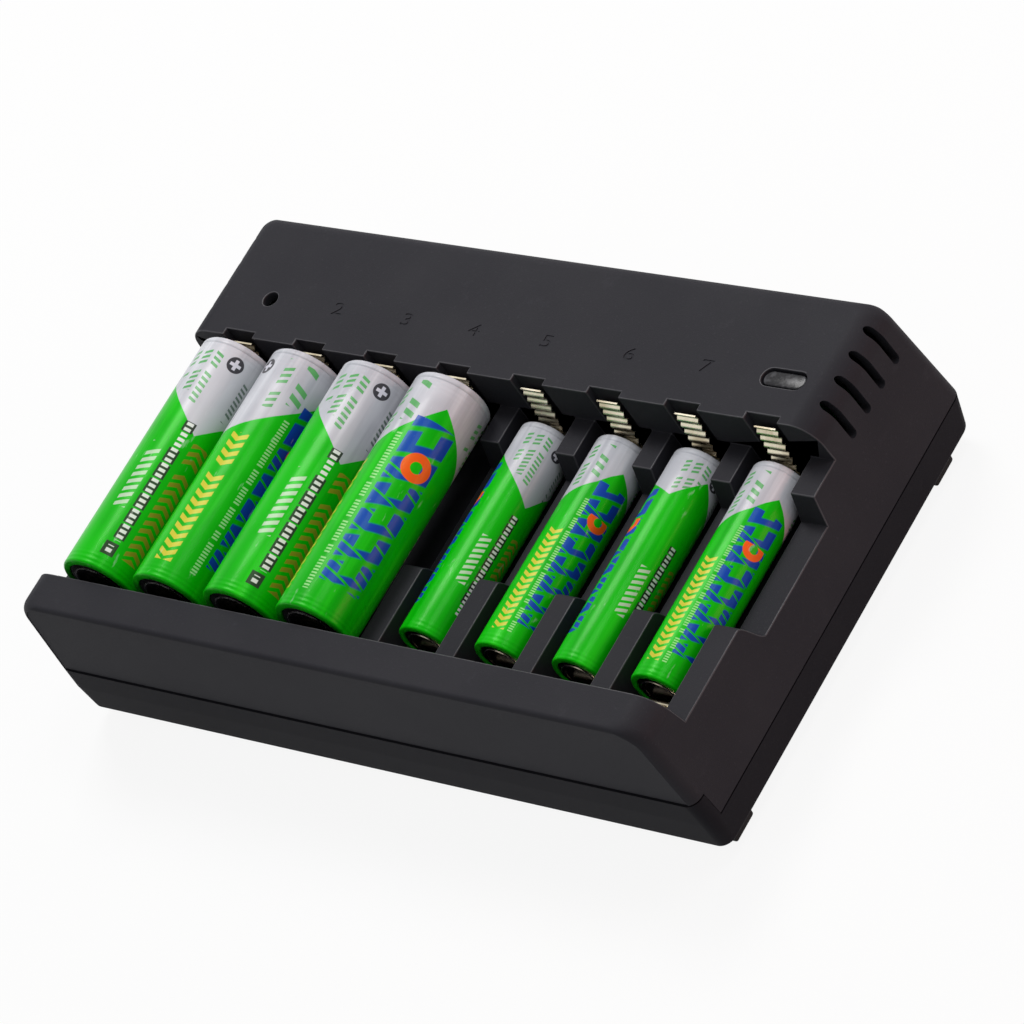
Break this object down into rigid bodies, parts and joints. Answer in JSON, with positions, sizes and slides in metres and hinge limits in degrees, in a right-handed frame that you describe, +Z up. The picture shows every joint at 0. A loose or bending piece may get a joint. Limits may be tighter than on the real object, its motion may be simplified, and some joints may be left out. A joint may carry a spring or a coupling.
{
  "type": "aa battery charger",
  "caption": "Mains battery charger with a row of open bays between a front lip and a rear deck with end vents, loaded with AA and AAA cells on sprung contacts.",
  "frame": {"origin": "on the surface the feet stand on, under the middle of the case", "axes": "+Z up; +X along the row of bays, to the right when the lip faces the viewer; +Y from the front lip to the rear deck"},
  "size_m": [0.144, 0.0884, 0.0374],
  "materials": {
    "case_black": "fine matte texture, charcoal",
    "base_black": "fine matte texture, charcoal",
    "foot_rubber": "matte black rubber",
    "contact_nickel": "nickel-plated spring steel, warm tint",
    "cell_steel": "plated steel can",
    "cell_sleeve": "glossy shrunk sleeve, green with a silver band",
    "board_green": "green solder mask",
    "lamp_resin": "milky resin",
    "window_clear": "clear smoke-grey plastic",
    "inlet_plastic": "black moulded plastic",
    "pin_brass": "nickel-plated brass",
    "screw_zinc": "zinc-plated steel",
    "coil_tape": "yellow tape over the winding, dark core",
    "can_sleeve": "dark shrunk sleeve",
    "sink_aluminium": "plain aluminium sheet"
  },
  "bodies": {
    "charger": {"upper_case": "case_black", "lower_case": "base_black", "main_board": "board_green", "lamp_board": "board_green", "deck_window": "window_clear", "inlet_socket": "inlet_plastic", "inlet_pin_left": "pin_brass", "inlet_pin_right": "pin_brass", "supply_transformer": "coil_tape", "supply_capacitor": "can_sleeve", "heat_sink": "sink_aluminium", "foot_front_left": "foot_rubber", "foot_front_right": "foot_rubber", "foot_rear_left": "foot_rubber", "foot_rear_right": "foot_rubber", "positive_strip_1": "contact_nickel", "aa_cell_1_can": "cell_steel", "aa_cell_1_sleeve": "cell_sleeve", "lamp_1": "lamp_resin", "positive_strip_2": "contact_nickel", "aa_cell_2_can": "cell_steel", "aa_cell_2_sleeve": "cell_sleeve", "lamp_2": "lamp_resin", "positive_strip_3": "contact_nickel", "aa_cell_3_can": "cell_steel", "aa_cell_3_sleeve": "cell_sleeve", "lamp_3": "lamp_resin", "positive_strip_4": "contact_nickel", "aa_cell_4_can": "cell_steel", "aa_cell_4_sleeve": "cell_sleeve", "lamp_4": "lamp_resin", "positive_strip_5": "contact_nickel", "aaa_cell_5_can": "cell_steel", "aaa_cell_5_sleeve": "cell_sleeve", "lamp_5": "lamp_resin", "positive_strip_6": "contact_nickel", "aaa_cell_6_can": "cell_steel", "aaa_cell_6_sleeve": "cell_sleeve", "lamp_6": "lamp_resin", "positive_strip_7": "contact_nickel", "aaa_cell_7_can": "cell_steel", "aaa_cell_7_sleeve": "cell_sleeve", "lamp_7": "lamp_resin", "positive_strip_8": "contact_nickel", "aaa_cell_8_can": "cell_steel", "aaa_cell_8_sleeve": "cell_sleeve", "lamp_8": "lamp_resin", "case_screw_1": "screw_zinc", "case_screw_2": "screw_zinc", "case_screw_3": "screw_zinc", "case_screw_4": "screw_zinc"},
    "leaf_1": {"negative_contact_1": "contact_nickel"},
    "leaf_2": {"negative_contact_2": "contact_nickel"},
    "leaf_3": {"negative_contact_3": "contact_nickel"},
    "leaf_4": {"negative_contact_4": "contact_nickel"},
    "leaf_5": {"negative_contact_5": "contact_nickel"},
    "leaf_6": {"negative_contact_6": "contact_nickel"},
    "leaf_7": {"negative_contact_7": "contact_nickel"},
    "leaf_8": {"negative_contact_8": "contact_nickel"}
  },
  "joints": [
    {"name": "negative_contact_1_flex", "type": "hinge", "parent": "charger", "child": "leaf_1", "pos_m": [-0.0571, -0.0299, 0.0139], "axis": [1, 0, 0], "range_deg": [0, 3], "stiffness_Nm_per_rad": 0.05},
    {"name": "negative_contact_2_flex", "type": "hinge", "parent": "charger", "child": "leaf_2", "pos_m": [-0.0405, -0.0299, 0.0139], "axis": [1, 0, 0], "range_deg": [0, 3], "stiffness_Nm_per_rad": 0.05},
    {"name": "negative_contact_3_flex", "type": "hinge", "parent": "charger", "child": "leaf_3", "pos_m": [-0.0239, -0.0299, 0.0139], "axis": [1, 0, 0], "range_deg": [0, 3], "stiffness_Nm_per_rad": 0.05},
    {"name": "negative_contact_4_flex", "type": "hinge", "parent": "charger", "child": "leaf_4", "pos_m": [-0.0073, -0.0299, 0.0139], "axis": [1, 0, 0], "range_deg": [0, 3], "stiffness_Nm_per_rad": 0.05},
    {"name": "negative_contact_5_flex", "type": "hinge", "parent": "charger", "child": "leaf_5", "pos_m": [0.0093, -0.0299, 0.0139], "axis": [1, 0, 0], "range_deg": [0, 3], "stiffness_Nm_per_rad": 0.05},
    {"name": "negative_contact_6_flex", "type": "hinge", "parent": "charger", "child": "leaf_6", "pos_m": [0.0259, -0.0299, 0.0139], "axis": [1, 0, 0], "range_deg": [0, 3], "stiffness_Nm_per_rad": 0.05},
    {"name": "negative_contact_7_flex", "type": "hinge", "parent": "charger", "child": "leaf_7", "pos_m": [0.0425, -0.0299, 0.0139], "axis": [1, 0, 0], "range_deg": [0, 3], "stiffness_Nm_per_rad": 0.05},
    {"name": "negative_contact_8_flex", "type": "hinge", "parent": "charger", "child": "leaf_8", "pos_m": [0.0591, -0.0299, 0.0139], "axis": [1, 0, 0], "range_deg": [0, 3], "stiffness_Nm_per_rad": 0.05}
  ]
}
